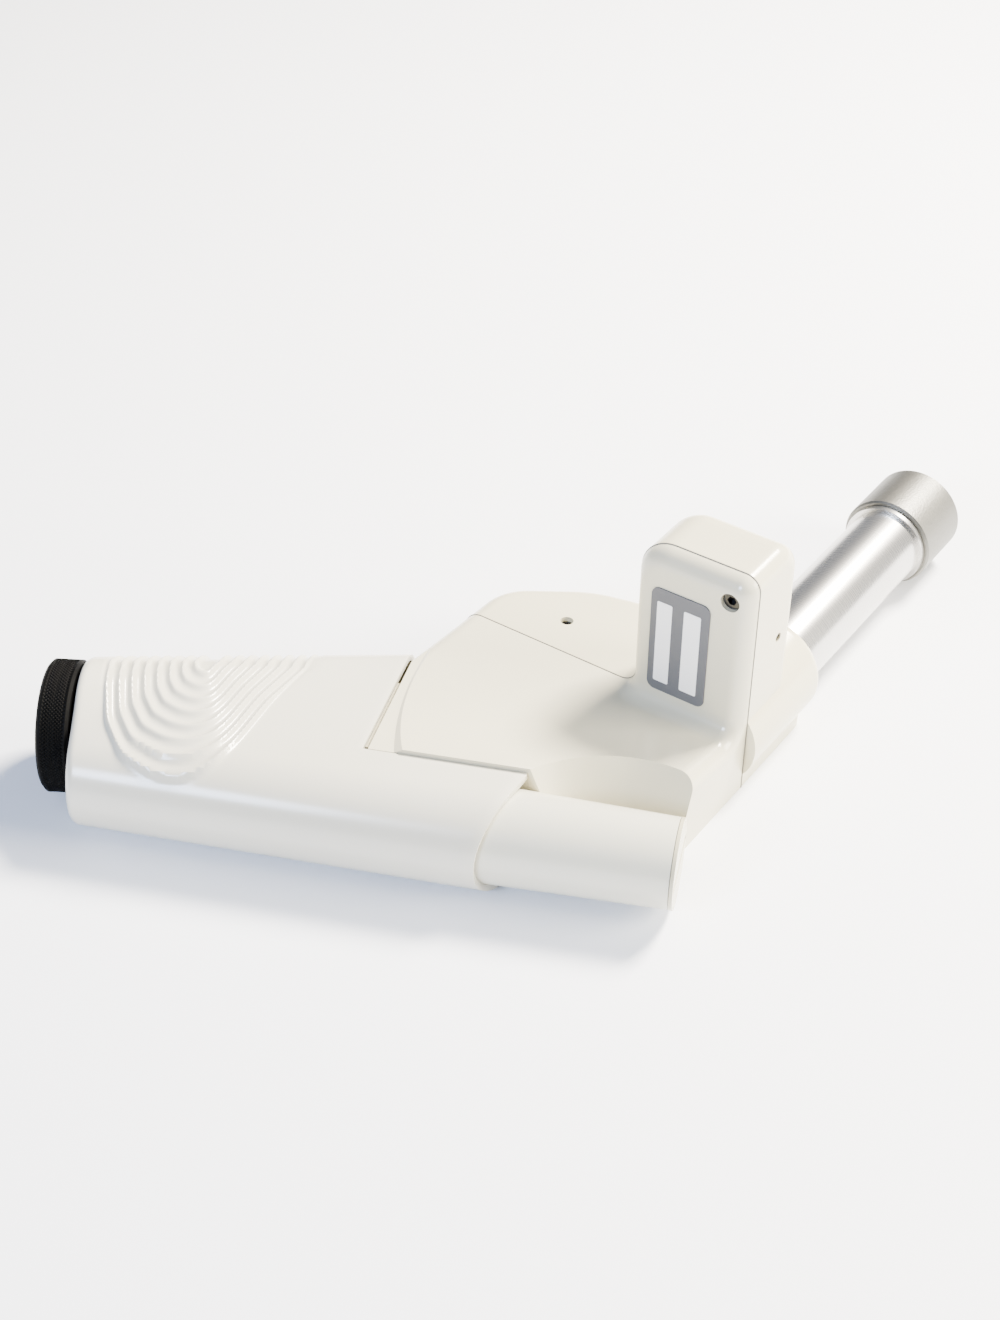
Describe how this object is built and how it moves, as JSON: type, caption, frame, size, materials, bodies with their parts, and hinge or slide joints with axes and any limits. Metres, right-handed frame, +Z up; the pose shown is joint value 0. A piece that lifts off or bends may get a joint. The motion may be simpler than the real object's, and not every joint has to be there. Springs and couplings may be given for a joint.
{
  "type": "lensmeter",
  "caption": "Hand-held lensmeter: a slide-out grip with a knurled eyepiece ring, an upright lamp turret and a bent metal barrel ending in a turning power collar.",
  "frame": {"origin": "a point on the flat underside of the housing, near the left end of the front housing", "axes": "+Z up from the table, +X along the battery sleeve towards the barrel's end of the object, +Y away from the sleeve"},
  "size_m": [0.2608, 0.2108, 0.078],
  "materials": {
    "cream_shell": "satin moulded",
    "cream_rear": "satin moulded",
    "cream_grip": "satin moulded",
    "cream_sleeve": "satin moulded",
    "cream_cap": "satin moulded",
    "black_ring": "fine knurl",
    "black_anodised": "matt black",
    "label_grey": "printed foil with blank windows",
    "screw_steel": "bright",
    "turned_aluminium": "fine turned",
    "satin_aluminium": "bead blasted",
    "rest_rubber": "soft matt",
    "optical_glass": "polished",
    "green_glass": "polished",
    "mirror_coat": "front coated",
    "lamp_glass": "clear bulb",
    "white_insulator": "moulded",
    "cell_can": "sleeved cell",
    "brass_contact": "bare",
    "spring_steel": "bright drawn"
  },
  "bodies": {
    "housing": {"front_housing": "cream_shell", "rear_housing": "cream_rear", "label_plate": "label_grey", "cover_screw": "screw_steel", "panel_screw": "screw_steel", "side_screw": "screw_steel", "barrel_tube": "turned_aluminium", "step_ring": "turned_aluminium", "barrel_nut": "black_anodised", "fold_mirror": "mirror_coat", "mirror_bracket": "black_anodised", "beam_splitter": "optical_glass", "splitter_mount": "black_anodised", "lamp_column": "black_anodised", "target_plate": "optical_glass", "green_filter": "green_glass", "condenser_lens": "optical_glass", "lamp": "lamp_glass", "lamp_holder": "white_insulator", "lamp_switch": "white_insulator", "battery_sleeve": "cream_sleeve", "cells": "cell_can", "contact_disc": "brass_contact", "contact_spring": "spring_steel"},
    "cap": {"battery_cap": "cream_cap"},
    "grip": {"grip_shell": "cream_grip", "eyepiece_tube": "black_anodised", "field_lens": "optical_glass", "reticle": "optical_glass", "reticle_ring": "black_anodised", "telescope_tube": "black_anodised", "objective_lens": "optical_glass"},
    "ring": {"focus_ring": "black_ring"},
    "eye_cell": {"eye_lens_cell": "black_anodised", "eye_lens": "optical_glass"},
    "collar": {"power_collar": "satin_aluminium", "lens_rest": "rest_rubber"},
    "lens_carriage": {"carriage": "black_anodised", "drive_pin": "spring_steel", "measuring_lens": "optical_glass"}
  },
  "joints": [
    {"name": "grip_slide", "type": "slide", "parent": "housing", "child": "grip", "axis": [-1, 0, 0], "range_m": [0, 0.025]},
    {"name": "ring_turn", "type": "hinge", "parent": "grip", "child": "ring", "pos_m": [-0.12408, -0.03213, 0.02037], "axis": [0.9845, 0.1734, -0.0271], "range_deg": [-150, 150]},
    {"name": "eye_cell_slide", "type": "slide", "parent": "grip", "child": "eye_cell", "axis": [0.9845, 0.1734, -0.0271], "range_m": [-0.0021, 0.0021]},
    {"name": "collar_turn", "type": "hinge", "parent": "housing", "child": "collar", "pos_m": [0.10986, 0.13292, 0.01545], "axis": [0.3827, 0.9239, 0], "range_deg": [-135, 135]},
    {"name": "carriage_slide", "type": "slide", "parent": "housing", "child": "lens_carriage", "axis": [0.3827, 0.9239, 0], "range_m": [-0.0041, 0.0041]},
    {"name": "cap_turn", "type": "hinge", "parent": "housing", "child": "cap", "pos_m": [0.06, -0.045, 0.016], "axis": [1, 0, 0], "range_deg": [0, 90]}
  ],
  "couplings": [
    {"joint": "eye_cell_slide", "follows": "ring_turn", "m_per_rad": 0.00076394},
    {"joint": "carriage_slide", "follows": "collar_turn", "m_per_rad": -0.0016977}
  ]
}
